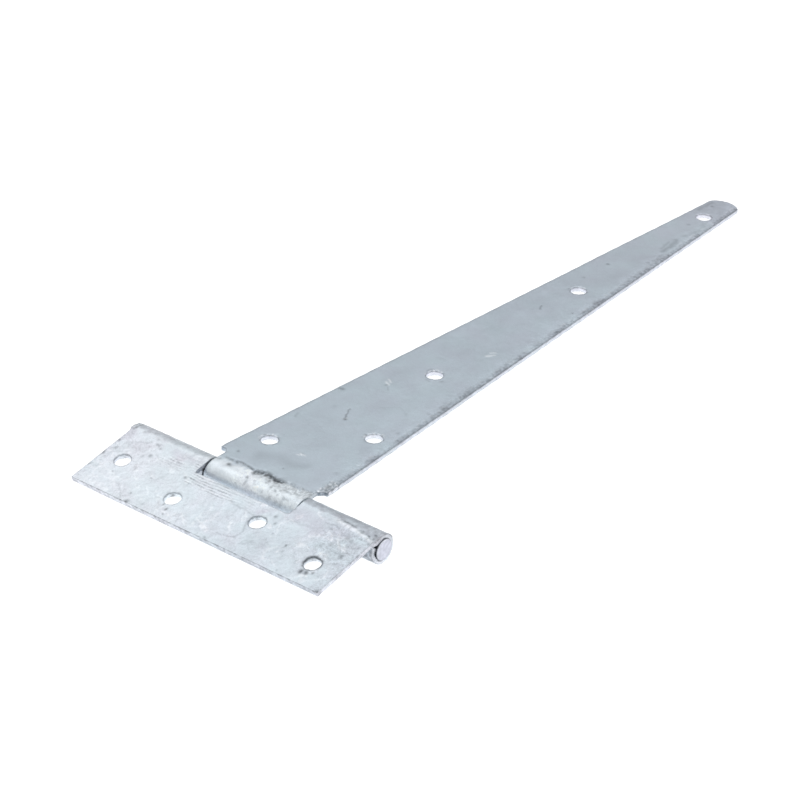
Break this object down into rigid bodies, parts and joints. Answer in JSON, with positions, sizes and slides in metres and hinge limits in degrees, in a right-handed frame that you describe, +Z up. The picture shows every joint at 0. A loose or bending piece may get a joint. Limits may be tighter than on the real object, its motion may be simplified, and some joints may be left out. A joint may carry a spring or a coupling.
{
  "type": "tee hinge",
  "caption": "Galvanised steel tee hinge: a cross leaf for the post, a long tapered strap for the gate and a pin through rolled knuckles, lying with its barrel down.",
  "frame": {"origin": "on the floor, below the middle of the hinge as it lies with its barrel down", "axes": "+X along the strap from the barrel to the tip, +Y along the pin, +Z up"},
  "size_m": [0.339, 0.118, 0.0113],
  "materials": {
    "leaf_zinc": "hot-dip galvanised, bright and a little uneven",
    "strap_zinc": "hot-dip galvanised, satin blue-grey",
    "pin_zinc": "hot-dip galvanised, satin"
  },
  "bodies": {
    "strap": {"strap": "strap_zinc"},
    "leaf": {"cross_leaf": "leaf_zinc", "hinge_pin": "pin_zinc"}
  },
  "joints": [
    {"name": "leaf_swing", "type": "hinge", "parent": "strap", "child": "leaf", "pos_m": [-0.13552, 0, 0.00556], "axis": [0, 1, 0], "range_deg": [-180, 115]}
  ]
}
